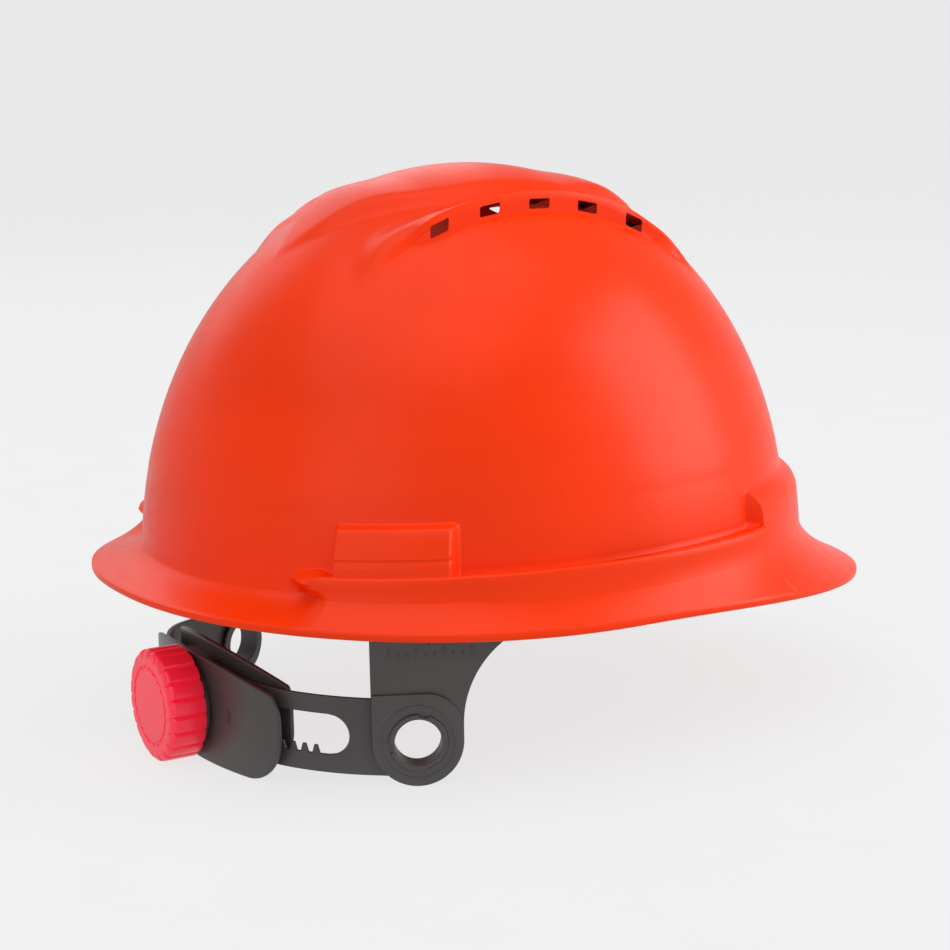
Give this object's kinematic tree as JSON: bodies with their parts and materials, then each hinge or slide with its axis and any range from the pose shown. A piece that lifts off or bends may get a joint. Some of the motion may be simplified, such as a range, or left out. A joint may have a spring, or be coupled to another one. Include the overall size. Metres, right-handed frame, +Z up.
{
  "type": "safety helmet",
  "caption": "Vented safety helmet with a short peak, side gutters, textile crown straps and a turn-knob ratchet headband.",
  "frame": {"origin": "midway between the tip of the peak and the rear of the brim, on the centre plane, at the level of the lowest point of the headband's side tabs", "axes": "+X forward to the peak, +Y to the wearer's left, +Z up to the crown"},
  "size_m": [0.283, 0.227, 0.1951],
  "materials": {
    "shell_plastic": "glossy moulded ABS, red-orange",
    "band_plastic": "satin moulded plastic, dark grey",
    "knob_plastic": "satin moulded plastic, red",
    "spring_plastic": "natural acetal",
    "strap_webbing": "woven polyester webbing, charcoal",
    "pad_fabric": "knitted fabric over foam, charcoal",
    "steel": "zinc-plated steel"
  },
  "bodies": {
    "shell": {"shell": "shell_plastic", "headband": "band_plastic", "brow_pad": "pad_fabric", "key_front_right": "band_plastic", "key_front_left": "band_plastic", "key_rear_right": "band_plastic", "key_rear_left": "band_plastic", "crown_strap_lower": "strap_webbing", "crown_strap_upper": "strap_webbing", "pivot_bush_right": "band_plastic", "pivot_bush_left": "band_plastic"},
    "arms": {"rear_arm_right": "band_plastic", "rear_arm_left": "band_plastic"},
    "ratchet": {"ratchet_cover": "band_plastic", "ratchet_inner_plate": "band_plastic", "nape_pad": "pad_fabric", "cover_screws": "steel"},
    "knob": {"ratchet_knob": "knob_plastic", "detent_spring": "spring_plastic", "drive_pinion": "spring_plastic", "knob_screw": "steel", "knob_washer": "steel"}
  },
  "joints": [
    {"name": "nape_tilt", "type": "hinge", "parent": "shell", "child": "arms", "pos_m": [-0.0688, 0, 0.015], "axis": [0, 1, 0], "range_deg": [-8, 8]},
    {"name": "band_size", "type": "slide", "parent": "arms", "child": "ratchet", "axis": [1, 0, 0], "range_m": [-0.015, 0.025], "deforming": ["rear_arm_right", "rear_arm_left"]},
    {"name": "knob_turn", "type": "hinge", "parent": "ratchet", "child": "knob", "pos_m": [-0.1175, 0, 0.0191], "axis": [1, 0, 0], "range_deg": [-170, 283]}
  ],
  "couplings": [
    {"joint": "knob_turn", "follows": "band_size", "rad_per_m": 196.35}
  ]
}
